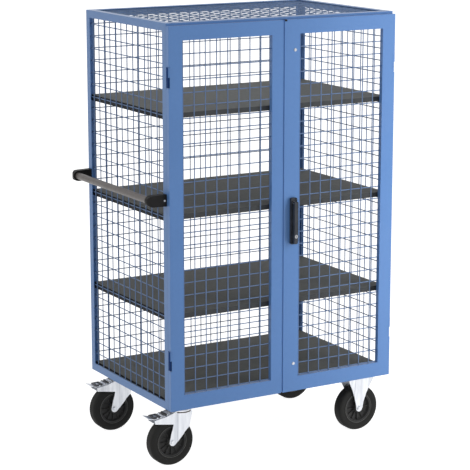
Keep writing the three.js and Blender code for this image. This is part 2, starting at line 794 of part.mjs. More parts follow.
// The swivel fork: two legs with a raised panel each and a wing over the tyre, under a round crown.
function swivelFork(name) {
  const axleToCrown = crownUnderside - wheelRadius;
  const axleToTop = crownTop - wheelRadius;
  const root = sized(wingShares.root);
  const knee = sized(kneeShares);
  const [crownBottom, crownNeck] = crownShares.map((share) => share * crownRadius);
  const side = new THREE.Shape();
  side.moveTo(...sized(wingShares.end));
  side.lineTo(...root);
  side.absarc(0, 0, forkTipRadius, tangentAngle(root, 1), tangentAngle(knee, -1) + 2 * Math.PI);
  side.lineTo(...knee);
  side.lineTo(swivelTrail + crownBottom, axleToCrown);
  side.lineTo(swivelTrail + crownNeck, axleToTop);
  side.lineTo(swivelTrail - crownNeck, axleToTop);
  side.lineTo(...sized(neckShares));
  side.lineTo(...sized(wingShares.shoulder));
  side.lineTo(...sized(wingShares.top));
  const wide = 2 * (hubWidth / 2 + wheelGap + forkSheet + forkSpread);
  const profile = extrude(side, 'y', about(0, wide + 2 * panelRise));
  const legs = legStrips(2 * axleToTop, 0, forkSheet).map((strip) => common(profile, strip));
  const middle = block(sized(swivelPanelShares), about(0, 2 * wide), [-forkTipRadius, axleToCrown]);
  const panels = legStrips(2 * axleToTop, 0, forkSheet + panelRise)
    .map((strip) => common(common(profile, strip), middle));
  const wellPoints = wellShares.map(sized);
  const roofPoints = wellPoints.map(([x, z]) => [x, z + forkSheet]).reverse();
  const roof = common(profile, extrude(polygon([...wellPoints, ...roofPoints]), 'y', about(0, wide)));
  const crownX = neckWall();
  const web = common(profile, block([crownX, crownX + forkSheet], about(0, wide), [wellPoints.at(-1)[1], axleToTop]));
  const cap = common(profile, block([crownX, 2 * wheelRadius], about(0, wide), [axleToCrown, axleToTop]));
  const crown = bar('z', crownRadius, [axleToCrown, axleToTop], tubeSides).translate(swivelTrail, 0, 0);
  const kingHole = bore('z', kingPinRadius, turningGap, [axleToCrown - overrun, axleToTop + overrun]);
  const [pivotX, pivotZ] = sized(pedalPivotShares);
  const pin = bar('y', pedalPinRadius, about(0, wide)).translate(pivotX, 0, pivotZ);
  const axleHole = bore('y', axleRadius, weldGap, about(0, 2 * wide));
  const whole = join(...legs, ...panels, roof, web, cap, crown, pin);
  return part(name, cut(whole, kingHole.translate(swivelTrail, 0, 0), axleHole), zinc);
}

// Where the wing ends and the crown's front wall stands up behind it.
function neckWall() {
  return wellShares.at(-1)[0] * wheelRadius - forkSheet / 2;
}

// The caster's top: bolting plate, race and the pin with the nut that hold the fork's crown.
function swivelPlate(name) {
  const fromAxle = (height) => height - wheelRadius;
  const plate = block(
    about(swivelTrail, plateLength), about(0, plateWidth), [fromAxle(plateBottom), fromAxle(frameUnderside)]);
  const race = new THREE.CylinderGeometry(raceTopRadius, crownRadius, raceHeight, tubeSides);
  race.rotateX(Math.PI / 2).translate(swivelTrail, 0, fromAxle((raceBottom + plateBottom) / 2));
  const nutTop = fromAxle(crownUnderside - raceGap);
  const pin = bar('z', kingPinRadius, [nutTop - kingNutHeight, fromAxle(plateBottom)]).translate(swivelTrail, 0, 0);
  const nut = bar('z', kingNutRadius, [nutTop - kingNutHeight, nutTop], nutSides).translate(swivelTrail, 0, 0);
  return part(name, join(plate, race, pin, nut), zinc);
}

// The height of the pedal's top face over a place along it.
function pedalSurface(x, points) {
  const next = points.findIndex(([px]) => px <= x);
  const [x0, z0] = points[next - 1];
  const [x1, z1] = points[next];
  return z0 + (z1 - z0) * (x - x0) / (x1 - x0);
}

// The brake pedal: a bent plate on a barrel that turns on the fork's pin, ribbed across its top.
function brakePedal(name) {
  const top = pedalTopShares.map(sized);
  const bottom = top.map(([x, z]) => [x, z - pedalSheet]).reverse();
  const plate = extrude(polygon([...top, ...bottom].reverse()), 'y', about(0, pedalWidth));
  const [pivotX, pivotZ] = sized(pedalPivotShares);
  const barrel = bar('y', pedalBarrel, about(0, pedalWidth)).translate(pivotX, 0, pivotZ);
  const ribs = pedalRibShares.map((share) => {
    const x = share * wheelRadius;
    const surface = pedalSurface(x, top);
    return block(about(x, pedalRibWidth), about(0, pedalWidth), [surface - pedalSheet, surface + pedalRibHeight]);
  });
  const hole = bore('y', pedalPinRadius, turningGap, about(0, 2 * pedalWidth)).translate(pivotX, 0, pivotZ);
  return part(name, cut(join(plate, barrel, ...ribs), hole), zinc);
}

// The fixed fork: a bolting plate with two waisted legs, each with a raised panel down its middle.
function fixedFork(name) {
  const top = plateBottom - wheelRadius;
  const plateTop = frameUnderside - wheelRadius;
  const [waistX, waistZ] = sized(fixedWaistShares);
  const [shoulderX, shoulderZ] = sized(fixedShoulderShares);
  const side = new THREE.Shape();
  const tipEnd = tangentAngle([waistX, waistZ], -1);
  side.absarc(0, 0, forkTipRadius, Math.PI - tipEnd, tipEnd + 2 * Math.PI);
  side.quadraticCurveTo(waistX, waistZ, shoulderX, shoulderZ);
  side.lineTo(shoulderX + fixedTopFlare, top + plateThickness / 2);
  side.lineTo(-shoulderX - fixedTopFlare, top + plateThickness / 2);
  side.lineTo(-shoulderX, shoulderZ);
  side.quadraticCurveTo(-waistX, waistZ, -forkTipRadius * Math.cos(tipEnd), forkTipRadius * Math.sin(tipEnd));
  const profile = extrude(side, 'y', about(0, plateWidth));
  const middle = block(sized(fixedPanelShares), about(0, plateWidth), [0, top]);
  const legs = legStrips(top + plateThickness / 2, fixedTopSpread, forkSheet).map((leg) => common(profile, leg));
  const panels = legStrips(top + plateThickness / 2, fixedTopSpread, forkSheet + panelRise)
    .map((leg) => common(common(profile, leg), middle));
  const plate = block(about(0, plateLength), about(0, plateWidth), [top, plateTop]);
  const axleHole = bore('y', axleRadius, weldGap, about(0, 2 * plateWidth));
  return part(name, cut(join(plate, ...legs, ...panels), axleHole), zinc);
}

function swivelCaster(place, y) {
  const forkHalf = hubWidth / 2 + wheelGap + forkSheet;
  return group(swivelX - swivelTrail, y, wheelRadius,
    swivelPlate(`${place}_swivel_plate`),
    swivelFork(`${place}_swivel_fork`),
    brakePedal(`${place}_brake_pedal`),
    wheelAxle(`${place}_swivel_axle`, forkHalf),
    wheelRim(`${place}_swivel_rim`),
    wheelTyre(`${place}_swivel_tyre`),
  );
}

function fixedCaster(place, y) {
  const forkHalf = hubWidth / 2 + wheelGap + forkSheet + panelRise;
  return group(fixedX, y, wheelRadius,
    fixedFork(`${place}_fixed_fork`),
    wheelAxle(`${place}_fixed_axle`, forkHalf),
    wheelRim(`${place}_fixed_rim`),
    wheelTyre(`${place}_fixed_tyre`),
  );
}

// The whole cart, centred over the floor

function shelfCart() {
  const upper = group(0, 0, frameUnderside,
    part('base_frame', baseFrame(), framePaint),
    part('roof_frame', roofFrame(), framePaint),
    post('front_left_post', false, false),
    post('front_right_post', true, false),
    post('rear_left_post', false, true),
    post('rear_right_post', true, true),
    ...wallNets(),
    roofNet(),
    ...shelves(),
    ...doors(),
    rodLock(),
    pushHandle(),
  );
  const cart = new THREE.Group();
  cart.add(
    upper,
    swivelCaster('front', casterY),
    swivelCaster('rear', frameDepth - casterY),
    fixedCaster('front', casterY),
    fixedCaster('rear', frameDepth - casterY),
  );
  const size = new THREE.Box3().setFromObject(cart);
  cart.position.set(-(size.min.x + size.max.x) / 2, -(size.min.y + size.max.y) / 2, -size.min.z);
  return cart;
}

export default shelfCart();
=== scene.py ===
# %% [markdown]
# # A mesh shelf cart with two doors
#
# The cart is a welded frame of angle steel on four casters. Wire mesh closes its sides, its back, its
# roof and the windows of its two doors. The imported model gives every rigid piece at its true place, so
# this file only adds what that model leaves plain: round wires, smooth wheels, screws, and paint, zinc,
# rubber and plastic that look like the real ones.

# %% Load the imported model
import json
import math
import bmesh
import bpy
from mathutils import Matrix, Vector


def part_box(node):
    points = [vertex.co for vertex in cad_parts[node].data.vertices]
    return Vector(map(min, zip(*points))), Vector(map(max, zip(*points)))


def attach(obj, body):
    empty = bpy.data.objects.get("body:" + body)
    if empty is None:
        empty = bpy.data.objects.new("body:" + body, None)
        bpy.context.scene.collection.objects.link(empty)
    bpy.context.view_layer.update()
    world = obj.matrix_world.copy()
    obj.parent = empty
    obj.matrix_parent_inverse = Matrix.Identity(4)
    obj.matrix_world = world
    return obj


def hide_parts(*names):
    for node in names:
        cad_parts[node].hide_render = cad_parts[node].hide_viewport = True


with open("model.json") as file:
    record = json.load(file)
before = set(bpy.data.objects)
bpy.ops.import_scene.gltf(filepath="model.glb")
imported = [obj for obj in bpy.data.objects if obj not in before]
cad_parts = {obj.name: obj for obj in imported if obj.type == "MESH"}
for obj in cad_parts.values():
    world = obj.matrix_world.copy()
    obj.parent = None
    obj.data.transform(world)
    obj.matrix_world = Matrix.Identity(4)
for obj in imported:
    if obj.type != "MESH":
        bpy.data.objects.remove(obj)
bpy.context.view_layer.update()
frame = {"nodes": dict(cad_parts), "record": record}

# %% [markdown]
# ## Camera
#
# The picture was taken from the front left and a little above, with a long lens. The camera stands
# where a fit to the corners of the frame puts it, about seven metres away. Its pitch looks down on the
# roof. A lens shift would keep the posts exactly upright, but the shift stays on in every other view,
# so there is none.

# %% Place the camera
PICTURE_WIDTH = 470
SENSOR = 36.0
CAMERA_PLACE = (-3.7598, -6.4164, 2.4457)
CAMERA_YAW = 30.418
CAMERA_PITCH = 12.071
FOCAL_PIXELS = 1820.5


def place_camera(position, yaw, pitch, focal_pixels):
    data = bpy.data.cameras.new("photo_camera")
    data.sensor_width = SENSOR
    data.lens = focal_pixels / PICTURE_WIDTH * SENSOR
    camera = bpy.data.objects.new("photo_camera", data)
    bpy.context.scene.collection.objects.link(camera)
    yaw, pitch = math.radians(yaw), math.radians(pitch)
    level = math.cos(pitch)
    aim = Vector((math.sin(yaw) * level, math.cos(yaw) * level, -math.sin(pitch)))
    camera.location = position
    camera.rotation_euler = aim.to_track_quat("-Z", "Y").to_euler()
    bpy.context.scene.camera = camera
    print("lens", round(data.lens, 1), "mm")


place_camera(CAMERA_PLACE, CAMERA_YAW, CAMERA_PITCH, FOCAL_PIXELS)

# %% [markdown]
# ## One way to add a node
#
# Materials and shape trees are both made of nodes. One helper adds any of them: its settings come
# first, because they decide which sockets the node has, and then each socket gets a value or a link.


# %% Add a node to any tree
def add_node(tree, kind, settings=None, inputs=None):
    node = tree.nodes.new(kind)
    for name, value in (settings or {}).items():
        setattr(node, name, value)
    for key, value in (inputs or {}).items():
        source = getattr(value, "socket", value)
        if isinstance(source, bpy.types.NodeSocket):
            tree.links.new(source, node.inputs[key])
        else:
            node.inputs[key].default_value = source
    return node


# %% [markdown]
# ## Sums on sockets
#
# A mask is easier to read as `1 - worn * 0.5` than as a row of Math nodes. This small class wraps a
# socket that carries a number, and each operator adds the Math node that it stands for. The reflected
# forms are for a plain number that stands first.


# %% Wrap a socket
class Number:
    def __init__(self, tree, socket):
        self.tree = tree
        self.socket = socket

    def math(self, operation, first, second, clamp=False):
        settings = {"operation": operation, "use_clamp": clamp}
        node = add_node(self.tree, "ShaderNodeMath", settings, {0: first, 1: second})
        return Number(self.tree, node.outputs[0])

    def __add__(self, other):
        return self.math("ADD", self, other)

    def __radd__(self, other):
        return self.math("ADD", other, self)

    def __sub__(self, other):
        return self.math("SUBTRACT", self, other)

    def __rsub__(self, other):
        return self.math("SUBTRACT", other, self)

    def __mul__(self, other):
        return self.math("MULTIPLY", self, other)

    def __rmul__(self, other):
        return self.math("MULTIPLY", other, self)

    def above(self, level, softness):
        scaled = (self - (level - softness / 2)) * (1 / softness)
        return self.math("MAXIMUM", scaled, 0.0, clamp=True)


# %% [markdown]
# ## A finish
#
# Each material starts as Blender's Principled shader. The finish keeps its tree, and gives the patterns
# that all the materials share: noise at a real size, a mix of two colours, and fine bumps. The patterns
# read Object coordinates, and every piece sits at the origin, so a grain of one millimetre is one
# millimetre everywhere on the cart.


# %% Build a material
def linear(colour):
    return [c / 12.92 if c <= 0.04045 else ((c + 0.055) / 1.055) ** 2.4 for c in colour]


def rgb(red, green, blue):
    return (*linear([red / 255, green / 255, blue / 255]), 1.0)


class Finish:
    def __init__(self, name, metallic=0.0, specular=0.5):
        self.material = bpy.data.materials.new(name)
        self.material.use_nodes = True
        self.tree = self.material.node_tree
        self.shader = self.tree.nodes["Principled BSDF"]
        self.shader.inputs["Metallic"].default_value = metallic
        self.shader.inputs["Specular IOR Level"].default_value = specular
        self.place = self.add("ShaderNodeTexCoord").outputs["Object"]

    def add(self, kind, settings=None, inputs=None):
        return add_node(self.tree, kind, settings, inputs)

    def noise(self, size, detail=2.0, stretch=(1, 1, 1)):
        scale = tuple(s / size for s in stretch)
        at = self.add("ShaderNodeMapping", None, {"Vector": self.place, "Scale": scale})
        inputs = {"Vector": at.outputs[0], "Scale": 1.0, "Detail": detail}
        node = self.add("ShaderNodeTexNoise", None, inputs)
        return Number(self.tree, node.outputs["Fac"])

    def mix(self, share, first, second):
        inputs = {0: share, 6: first, 7: second}
        return self.add("ShaderNodeMix", {"data_type": "RGBA"}, inputs).outputs[2]

    def facing(self, axis, sign=1.0):
        normal = self.add("ShaderNodeNewGeometry").outputs["Normal"]
        parts = self.add("ShaderNodeSeparateXYZ", None, {0: normal})
        return (Number(self.tree, parts.outputs[axis]) * sign).above(0.9, 0.1)

    def rounded_edge(self, radius):
        return self.add("ShaderNodeBevel", {"samples": 4}, {"Radius": radius}).outputs[0]

    def bump(self, height, depth, normal=None):
        inputs = {"Height": height, "Distance": depth, "Strength": 1.0}
        if normal is not None:
            inputs["Normal"] = normal
        return self.add("ShaderNodeBump", None, inputs).outputs[0]

    def feed(self, **links):
        for name, value in links.items():
            socket = self.shader.inputs[name.replace("_", " ").title()]
            self.tree.links.new(getattr(value, "socket", value), socket)
        return self.material


# %% [markdown]
# ## Powder coat
#
# The frame, the doors and the nets are powder coated in one blue. Such paint isn't smooth: it has a
# fine orange peel about two millimetres across, slow changes of tone over a hand's width, and edges
# where the coat is rounder than the steel. Faces that look up are mixed in patches towards a pale blue
# grey: a painted sheen for the light that grazes them. The doors are a little lighter than the frame,
# and the wires greyer, as thin things look in the photo. The hinges of the left door lie in shadow in
# their pockets, so their blue is painted shade: deep, with little shine.


# %% Blue paints
def powder_coat(name, colour, dark, roughness, edge, specular=0.5):
    finish = Finish(name, specular=specular)
    tone = finish.noise(0.18, 3.0) * 0.6 + finish.noise(0.012, 2.0) * 0.4
    peel = finish.noise(0.0022, 1.0)
    gloss = finish.noise(0.04, 3.0) * 0.12 + (roughness - 0.06)
    normal = finish.bump(peel, 0.00004, finish.rounded_edge(edge))
    shade = finish.mix(tone.above(0.52, 0.5), colour, dark)
    # Upward faces are mixed towards pale blue grey: a painted sheen for the light that grazes them.
    dust_and_sheen = finish.facing("Z") * (finish.noise(0.05, 3.0) * 0.3 + 0.25)
    with_top_sheen = finish.mix(dust_and_sheen, shade, rgb(170, 188, 216))
    return finish.feed(base_color=with_top_sheen, roughness=gloss, normal=normal)


frame_paint = powder_coat("frame_paint", rgb(92, 137, 196), rgb(88, 131, 190), 0.36, 0.0012)
door_paint = powder_coat("door_paint", rgb(95, 140, 202), rgb(91, 135, 196), 0.36, 0.0012)
# The two hinge paints are deep blue as painted shade, for hinges in the shadow of their pockets.
post_hinge_shade_paint = powder_coat(
    "post_hinge_shade_paint", rgb(30, 62, 118), rgb(26, 54, 104), 0.55, 0.0006, specular=0.1)
door_hinge_shade_paint = powder_coat(
    "door_hinge_shade_paint", rgb(40, 74, 132), rgb(35, 67, 121), 0.55, 0.0006, specular=0.1)
net_paint = powder_coat("net_paint", rgb(104, 132, 174), rgb(97, 124, 166), 0.42, 0.0003)

# %% [markdown]
# ## Board, steel and plastics
#
# The shelves are boards with an anthracite film: matt on top, with a faint grain along the cart. Their
# front edge is nearly the tone of the film, and the other edges are nearly black. The bearers are dark
# painted steel. The brackets of the push handle, the rims and the lock's dish and lever are moulded
# plastic, which has a fine grain from its mould. Ribs of rubber lie on the brake pedals, and a brown
# ring fills the gap of each swivel caster.


# %% Dark finishes
def film_board(name):
    finish = Finish(name, specular=0.25)
    grain = finish.noise(0.003, 4.0, stretch=(0.12, 1, 1))
    cloud = finish.noise(0.15, 2.0)
    top = finish.mix(grain.above(0.5, 0.6), rgb(106, 108, 106), rgb(95, 97, 95))
    clouded = finish.mix(cloud.above(0.55, 0.4), top, rgb(99, 101, 99))
    edges = finish.mix(finish.facing("Y", -1.0), rgb(24, 26, 29), rgb(80, 82, 83))
    shade = finish.mix(finish.facing("Z"), edges, clouded)
    normal = finish.bump(grain, 0.00008, finish.rounded_edge(0.0008))
    gloss = finish.noise(0.02) * 0.2 + 0.55
    return finish.feed(base_color=shade, roughness=gloss, normal=normal)


def moulded(name, colour, worn, roughness, grain_size=0.0009, specular=0.3):
    finish = Finish(name, specular=specular)
    grain = finish.noise(grain_size, 2.0)
    rub = finish.noise(0.035, 4.0).above(0.58, 0.25)
    normal = finish.bump(grain, 0.00006, finish.rounded_edge(0.0008))
    shade = finish.mix(rub, colour, worn)
    gloss = finish.noise(0.015) * 0.15 + roughness
    return finish.feed(base_color=shade, roughness=gloss, normal=normal)


board_facing = film_board("board_facing")
dark_steel = moulded("dark_steel", rgb(15, 18, 24), rgb(23, 27, 34), 0.42, 0.002, specular=0.15)
black_plastic = moulded("black_plastic", rgb(19, 18, 18), rgb(27, 26, 25), 0.42, specular=0.2)
lock_grey = moulded("lock_grey", rgb(52, 55, 62), rgb(64, 67, 74), 0.36)
rim_plastic = moulded("rim_plastic", rgb(54, 54, 54), rgb(62, 62, 61), 0.5)
# The rim's edge ring is lighter grey: a painted highlight where the flange catches light.
rim_highlight = moulded("rim_highlight", rgb(92, 92, 90), rgb(102, 102, 100), 0.5)
pedal_rubber = moulded("pedal_rubber", rgb(92, 92, 95), rgb(106, 106, 109), 0.5)
# The brown that fills the gap of each swivel race.
race_gap_brown = moulded("race_gap_brown", rgb(84, 70, 62), rgb(98, 84, 74), 0.6)

# %% [markdown]
# ## Zinc, tube and rubber
#
# The casters are zinc plated: bright, with upright clouds and fine marks of the press along the sheet.
# Screws, lock rods and the key cylinder are a duller zinc. The tube of the push handle has a grey coat
# with a soft shine. The tyres are black rubber that has gone slightly grey where dust sits.


# %% Metals and rubber
def zinc_plate(name, bright, cloudy, roughness, edge=0.0007, metallic=0.75):
    finish = Finish(name, metallic=metallic)
    cloud = finish.noise(0.016, 3.0, stretch=(1, 1, 0.12))
    brushed = finish.noise(0.0012, 2.0, stretch=(0.1, 1, 1))
    shade = finish.mix(cloud.above(0.5, 0.4), bright, cloudy)
    gloss = cloud * 0.16 + brushed * 0.08 + roughness
    normal = finish.bump(brushed, 0.00002, finish.rounded_edge(edge))
    return finish.feed(base_color=shade, roughness=gloss, normal=normal)


def rubber(name):
    finish = Finish(name, specular=0.2)
    dust_and_sheen = finish.noise(0.03, 5.0).above(0.6, 0.3)
    grit = finish.noise(0.0015, 3.0)
    shade = finish.mix(dust_and_sheen * 0.6, rgb(39, 39, 38), rgb(50, 49, 48))
    normal = finish.bump(grit, 0.00012)
    return finish.feed(base_color=shade, roughness=dust_and_sheen * 0.15 + 0.68, normal=normal)


zinc = zinc_plate("zinc", rgb(234, 236, 240), rgb(208, 211, 217), 0.30, metallic=0.9)
screw_zinc = zinc_plate("screw_zinc", rgb(214, 216, 220), rgb(190, 193, 198), 0.22, 0.0003)
key_zinc = zinc_plate("key_zinc", rgb(186, 188, 192), rgb(168, 170, 175), 0.30, 0.0003)
grey_tube = zinc_plate("grey_tube", rgb(102, 96, 93), rgb(94, 88, 86), 0.26, metallic=0.1)
tyre_rubber = rubber("tyre_rubber")

FINISHES = {
    "frame_paint": frame_paint,
    "door_paint": door_paint,
    "net_paint": net_paint,
    "board_facing": board_facing,
    "dark_steel": dark_steel,
    "black_plastic": black_plastic,
    "lock_grey": lock_grey,
    "rim_plastic": rim_plastic,
    "zinc": zinc,
    "grey_tube": grey_tube,
    "tyre_rubber": tyre_rubber,
}

# %% [markdown]
# ## Paint the model
#
# Angle steel, folded doors and boards have flat faces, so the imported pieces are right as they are. Each
# one gets the finish that the record names for it.

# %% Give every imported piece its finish
SLOT_OF = {part["node"]: part["material_slot"] for part in frame["record"]["subparts"]}
BODIES = frame["record"]["behaviour"]["bodies"]
BODY_OF = {node: body for body, nodes in BODIES.items() for node in nodes}


def paint(piece, material):
    piece.data.materials.clear()
    piece.data.materials.append(material)


for name, node in frame["nodes"].items():
    paint(node, FINISHES[SLOT_OF[name]])
print("painted", len(frame["nodes"]), "pieces with", len(FINISHES), "finishes")

# %% [markdown]
# ## Round pieces, made smooth
#
# A packed round piece has flat sides, and its mesh is loose triangles. A copy with its corners merged
# can be shaded smooth wherever two faces meet at a shallow angle. The copy then stands for the packed
# piece, at the same place and on the same body.


# %% Smooth copies
COPY_ANGLE = 32.0


def smooth(shape, angle):
    for face in shape.faces:
        face.smooth = True
    for edge in shape.edges:
        edge.smooth = edge.calc_face_angle(math.pi) < math.radians(angle)


def finish_piece(piece, node):
    bpy.context.scene.collection.objects.link(piece)
    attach(piece, BODY_OF[node])
    return piece


def smooth_copy(node, material):
    shape = bmesh.new()
    shape.from_mesh(frame["nodes"][node].data)
    bmesh.ops.remove_doubles(shape, verts=shape.verts, dist=2e-6)
    smooth(shape, COPY_ANGLE)
    mesh = bpy.data.meshes.new(f"{node}_finished")
    shape.to_mesh(mesh)
    shape.free()
    mesh.materials.append(material)
    piece = finish_piece(bpy.data.objects.new(f"{node}_finished", mesh), node)
    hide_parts(node)


LOCK_METAL = ["lock_spindle", "lock_cam", "upper_lock_rod", "lower_lock_rod"]
ROUND_NODES = ["front_handle_bracket", "rear_handle_bracket", "lock_dish", "lock_lever"]
for place in ("front", "rear"):
    ROUND_NODES += [f"{place}_swivel_fork", f"{place}_swivel_plate", f"{place}_brake_pedal"]
    ROUND_NODES += [f"{place}_swivel_axle", f"{place}_fixed_fork", f"{place}_fixed_axle"]
for node in ROUND_NODES:
    smooth_copy(node, FINISHES[SLOT_OF[node]])
for node in LOCK_METAL:
    smooth_copy(node, key_zinc)
print("smoothed", len(ROUND_NODES) + len(LOCK_METAL), "pieces")

# %% [markdown]
# ## Wire mesh
#
# The nets are welded from round wire in squares of 50 mm. The wire is 4.2 mm thick, and 3.4 mm on the
# roof. The rule is simple: two rows of equal bars, one behind the other, which touch where they are
# welded. That is a task for Geometry Nodes. A row of points carries one straight wire each, for the
# uprights and again for the level wires.


# %% A tree with named inputs
class Tree:
    def __init__(self, name, inputs):
        self.tree = bpy.data.node_groups.new(name, "GeometryNodeTree")
        face = self.tree.interface
        face.new_socket(name="Geometry", in_out="INPUT", socket_type="NodeSocketGeometry")
        face.new_socket(name="Geometry", in_out="OUTPUT", socket_type="NodeSocketGeometry")
        self.keys = {}
        for label, kind in inputs.items():
            item = face.new_socket(name=label, in_out="INPUT", socket_type=f"NodeSocket{kind}")
            self.keys[label] = item.identifier
        self.given = self.add("NodeGroupInput").outputs

    def add(self, kind, settings=None, inputs=None):
        return add_node(self.tree, kind, settings, inputs)

    def out(self, kind, settings=None, inputs=None):
        return self.add(kind, settings, inputs).outputs[0]

    def finish(self, *shapes):
        joined = self.add("GeometryNodeJoinGeometry")
        for shape in shapes:
            self.tree.links.new(shape, joined.inputs[0])
        real = self.out("GeometryNodeRealizeInstances", None, {0: joined.outputs[0]})
        inputs = {"Geometry": real, "Material": self.given["Material"]}
        dressed = self.out("GeometryNodeSetMaterial", None, inputs)
        self.add("NodeGroupOutput", None, {0: dressed})

    def make(self, name, values, points=()):
        mesh = bpy.data.meshes.new(f"{name}_points")
        mesh.from_pydata(points, [], [])
        source = bpy.data.objects.new(f"{name}_source", mesh)
        bpy.context.scene.collection.objects.link(source)
        modifier = source.modifiers.new("rule", "NODES")
        modifier.node_group = self.tree
        for label, value in values.items():
            modifier[self.keys[label]] = value
        graph = bpy.context.evaluated_depsgraph_get()
        made = bpy.data.meshes.new_from_object(source.evaluated_get(graph), depsgraph=graph)
        bpy.data.objects.remove(source)
        made.name = name
        return made


# %% The rule of a welded net
net_rule = Tree("welded_net", {
    "Width": "Float", "Height": "Float", "Pitch": "Float", "Wire Radius": "Float",
    "First Upright": "Float", "Uprights": "Int", "First Level": "Float", "Levels": "Int",
    "Material": "Material",
})
WIRE_SIDES = 8
# How far back each row's wires stand, counted in wire radii. The two rows touch.
UPRIGHT_DEPTH, LEVEL_DEPTH = 1.0, 3.0


def wire_row(length, along, first, count, step, depth):
    tree, given = net_rule, net_rule.given
    end = tree.out("ShaderNodeCombineXYZ", None, {along: given[length]})
    line = tree.out("GeometryNodeCurvePrimitiveLine", None, {"End": end})
    sides = {"Resolution": WIRE_SIDES, "Radius": given["Wire Radius"]}
    ring = tree.out("GeometryNodeCurvePrimitiveCircle", None, sides)
    wire = tree.out("GeometryNodeCurveToMesh", None, {0: line, 1: ring, "Fill Caps": True})
    back = tree.out("ShaderNodeMath", {"operation": "MULTIPLY"}, {0: given["Wire Radius"], 1: depth})
    start = tree.out("ShaderNodeCombineXYZ", None, {step: given[first], "Y": back})
    stride = tree.out("ShaderNodeCombineXYZ", None, {step: given["Pitch"]})
    inputs = {"Count": given[count], "Start Location": start, "Offset": stride}
    row = tree.out("GeometryNodeMeshLine", {"mode": "OFFSET"}, inputs)
    return tree.out("GeometryNodeInstanceOnPoints", None, {"Points": row, "Instance": wire})


net_rule.finish(
    wire_row("Height", "Z", "First Upright", "Uprights", "X", UPRIGHT_DEPTH),
    wire_row("Width", "X", "First Level", "Levels", "Z", LEVEL_DEPTH),
)

# %% [markdown]
# The six nets are then one call each. A net is made flat, with its first corner at the origin and its
# uprights in front, and is turned into its place afterwards. All wires keep steps of 50 mm, and the
# place of the first one in each door and wall was read from the photo. The level wires of the walls
# stand 11.5 mm higher than those of the doors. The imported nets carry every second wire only, and their
# wall wires stand 11 to 17 mm from the nearest of these.

# %% Make the six nets
WIRE_RADIUS = 0.0021
ROOF_WIRE_RADIUS = 0.0017
PITCH = 0.05
CORNER = Vector((-0.485, -0.3195, 0.253))
# The first level wire, counted from the frame's underside.
DOOR_LEVEL = 0.015
WALL_LEVEL = 0.0265
# The first upright of a door, from the frame's left corner, and of a wall, from its net's first corner.
DOOR_UPRIGHT = {"left_door_net": 0.065, "right_door_net": 0.598}
WALL_UPRIGHT = {"left_wall_net": 0.0417, "right_wall_net": 0.0137, "rear_wall_net": 0.0143}
WALL_TURNS = {"left_wall_net": 3, "right_wall_net": 1, "rear_wall_net": 2}
# The first wires of the roof, from its rear left corner.
ROOF_ACROSS, ROOF_ALONG = 0.0389, 0.0359


def wires_between(first, low, high):
    start = first + PITCH * math.ceil((low - first) / PITCH)
    return start - low, int((high - start) / PITCH) + 1


def wire_net(node, turn, width, height, across, up, radius=WIRE_RADIUS):
    first_upright, uprights = wires_between(*across)
    first_level, levels = wires_between(*up)
    values = {
        "Width": width, "Height": height, "Pitch": PITCH, "Wire Radius": radius,
        "First Upright": first_upright, "Uprights": uprights,
        "First Level": first_level, "Levels": levels, "Material": net_paint,
    }
    mesh = net_rule.make(f"{node}_wires", values)
    mesh.transform(turn)
    mesh.shade_smooth()
    piece = finish_piece(bpy.data.objects.new(f"{node}_wires", mesh), node)
    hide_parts(node)
    print(node, uprights, "by", levels, "wires")


def door_net(node):
    low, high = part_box(node)
    span = high - low
    left, right = low.x - CORNER.x, high.x - CORNER.x
    bottom, top = low.z - CORNER.z, high.z - CORNER.z
    across = (DOOR_UPRIGHT[node], left, right - WIRE_RADIUS)
    up = (DOOR_LEVEL, bottom, top - WIRE_RADIUS)
    wire_net(node, Matrix.Translation(low), span.x, span.z, across, up)


def wall_net(node):
    low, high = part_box(node)
    span = high - low
    turns = WALL_TURNS[node]
    width = span.y if turns % 2 else span.x
    start = {1: (high.x, low.y, low.z), 2: (high.x, high.y, low.z), 3: (low.x, high.y, low.z)}
    place = Matrix.Translation(start[turns]) @ Matrix.Rotation(turns * math.pi / 2, 4, "Z")
    bottom = low.z - CORNER.z
    across = (WALL_UPRIGHT[node], 0.0, width - WIRE_RADIUS)
    up = (WALL_LEVEL, bottom, bottom + span.z - WIRE_RADIUS)
    wire_net(node, place, width, span.z, across, up)


def roof_net(node):
    low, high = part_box(node)
    span = high - low
    corner = Matrix.Translation((low.x, high.y, low.z))
    across = (ROOF_ACROSS, 0.0, span.x - WIRE_RADIUS)
    along = (ROOF_ALONG, 0.0, span.y - WIRE_RADIUS)
    flat = Matrix.Rotation(math.pi / 2, 4, "X")
    wire_net(node, corner @ flat, span.x, span.y, across, along, ROOF_WIRE_RADIUS)


for node in DOOR_UPRIGHT:
    door_net(node)
for node in WALL_UPRIGHT:
    wall_net(node)
roof_net("roof_net")

# %% [markdown]
# ## Wheels
#
# A wheel is a body of revolution: a rubber tyre with round shoulders on a plastic rim. Spinning one
# section round the axle gives each of them. The rim's wall is a web with ribs on both sides, so the
# ribs are set by rule round the hub. A thin ring of lighter grey, a painted highlight where the flange
# catches light, marks the rim's edge on both sides.


# %% Spin an outline round the axle
# A wheel stands on the floor, so its radius is also the height of its axle.
WHEEL_RADIUS = 0.0975
WHEEL_STEPS = 96
SPUN_ANGLE = 40.0


def spin(profile, steps=WHEEL_STEPS):
    points, faces = [], []
    count = len(profile)
    for i in range(steps):
        angle = 2 * math.pi * i / steps
        points += [(r * math.cos(angle), y, r * math.sin(angle)) for r, y in profile]
    for i in range(steps):
        ring, following = i * count, (i + 1) % steps * count
        for k in range(count):
            after = (k + 1) % count
            faces.append((ring + k, ring + after, following + after, following + k))
    mesh = bpy.data.meshes.new("spun")
    mesh.from_pydata(points, [], faces)
    return outward(mesh)


